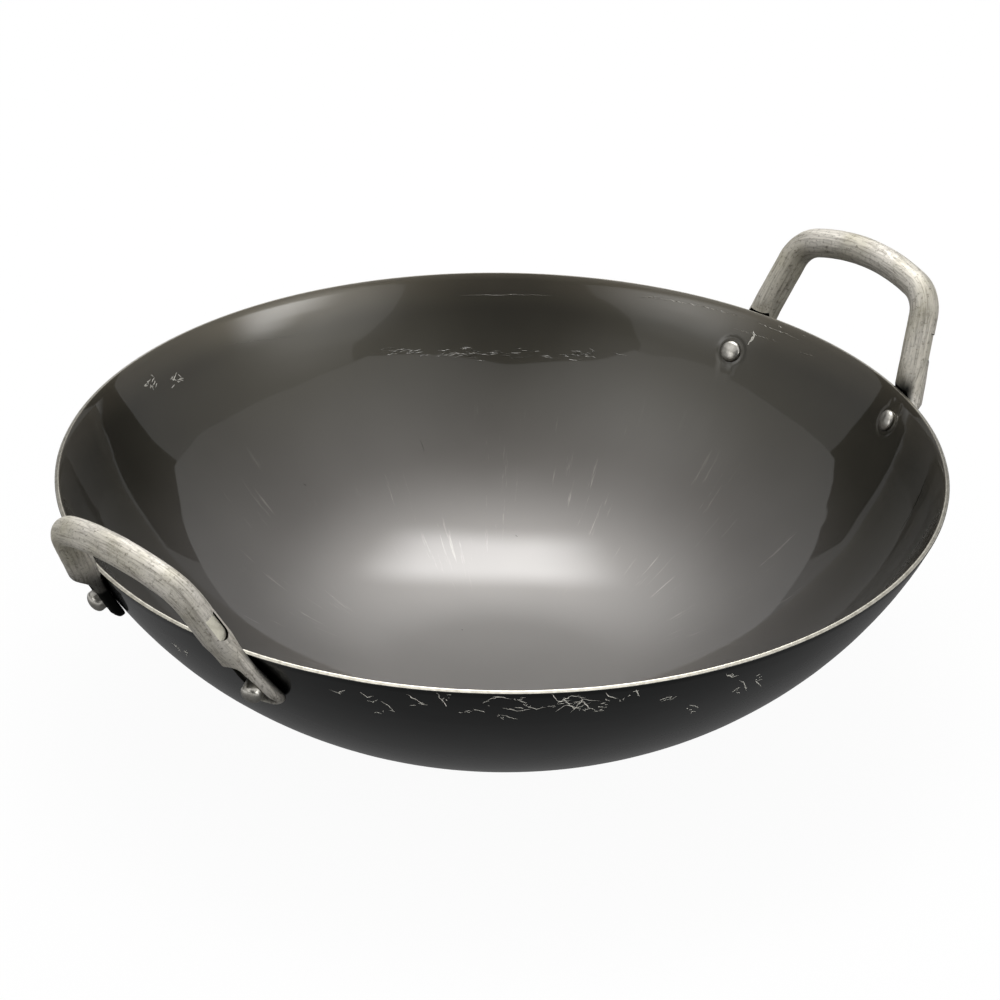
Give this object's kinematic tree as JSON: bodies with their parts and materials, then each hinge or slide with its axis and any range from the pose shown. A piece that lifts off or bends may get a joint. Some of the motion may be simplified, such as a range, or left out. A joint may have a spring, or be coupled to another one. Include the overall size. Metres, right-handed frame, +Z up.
{
  "type": "kadai",
  "caption": "Round-bottomed steel kadai with two riveted tube loop handles, for frying and stir-frying on a stove.",
  "frame": {"origin": "centre of the small flat under the bowl, on the bowl's axis", "axes": "+Z up the bowl's axis towards the rim, +X towards the right handle"},
  "size_m": [0.4115, 0.3598, 0.1363],
  "materials": {
    "pan_steel": "dark carbon steel under a clear glossy lacquer, bare at the cut rim",
    "handle_steel": "drawn and tumbled, mottled",
    "rivet_steel": "bright, satin"
  },
  "bodies": {
    "root": {"bowl": "pan_steel", "handle_right": "handle_steel", "handle_left": "handle_steel", "rivet_right_front": "rivet_steel", "rivet_right_back": "rivet_steel", "rivet_left_front": "rivet_steel", "rivet_left_back": "rivet_steel"}
  },
  "joints": []
}
